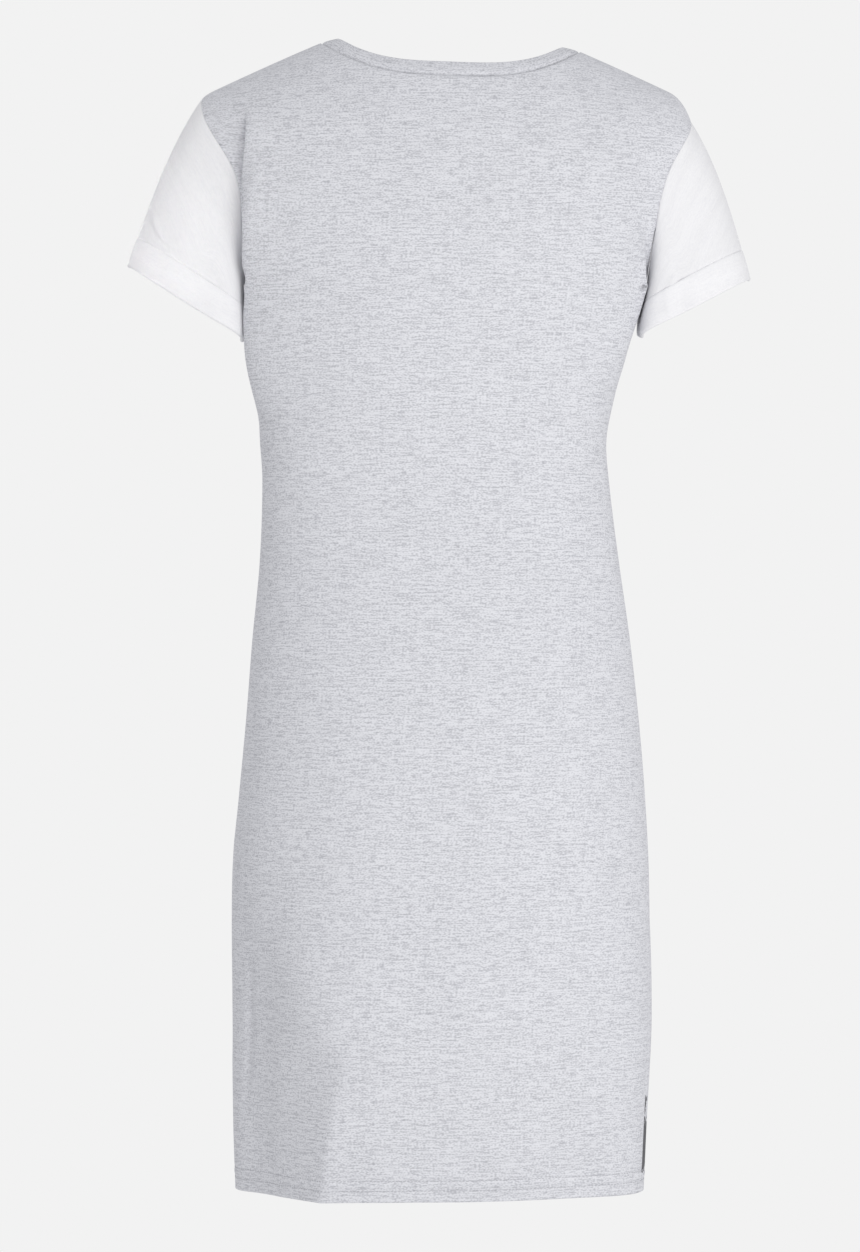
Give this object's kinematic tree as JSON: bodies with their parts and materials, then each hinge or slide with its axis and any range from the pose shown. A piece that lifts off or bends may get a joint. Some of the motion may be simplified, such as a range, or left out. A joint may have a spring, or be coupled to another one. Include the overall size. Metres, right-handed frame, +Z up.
{
  "type": "short-sleeved jersey t-shirt dress, worn form",
  "caption": "Jersey T-shirt dress filled out as worn, hollow, with banded round neck, set-in short sleeves with turned-up cuffs, soft waist and stitched hem, open at neck, cuffs and hem.",
  "frame": {"origin": "point inside the dress, level with and midway between its two high shoulder points, where a wearer's shoulders carry it", "axes": "+Z up, the front of the dress faces -Y, the back faces +Y, +X is the wearer's left"},
  "size_m": [0.5014, 0.2347, 0.9179],
  "materials": {
    "heather_grey_jersey": "matt single jersey with fine level grey flecks",
    "white_jersey": "matt white single jersey"
  },
  "bodies": {
    "root": {"back": "heather_grey_jersey", "front": "heather_grey_jersey", "neckband": "heather_grey_jersey", "sleeve_left": "white_jersey", "sleeve_right": "white_jersey", "cuff_left": "white_jersey", "cuff_right": "white_jersey"}
  },
  "joints": []
}
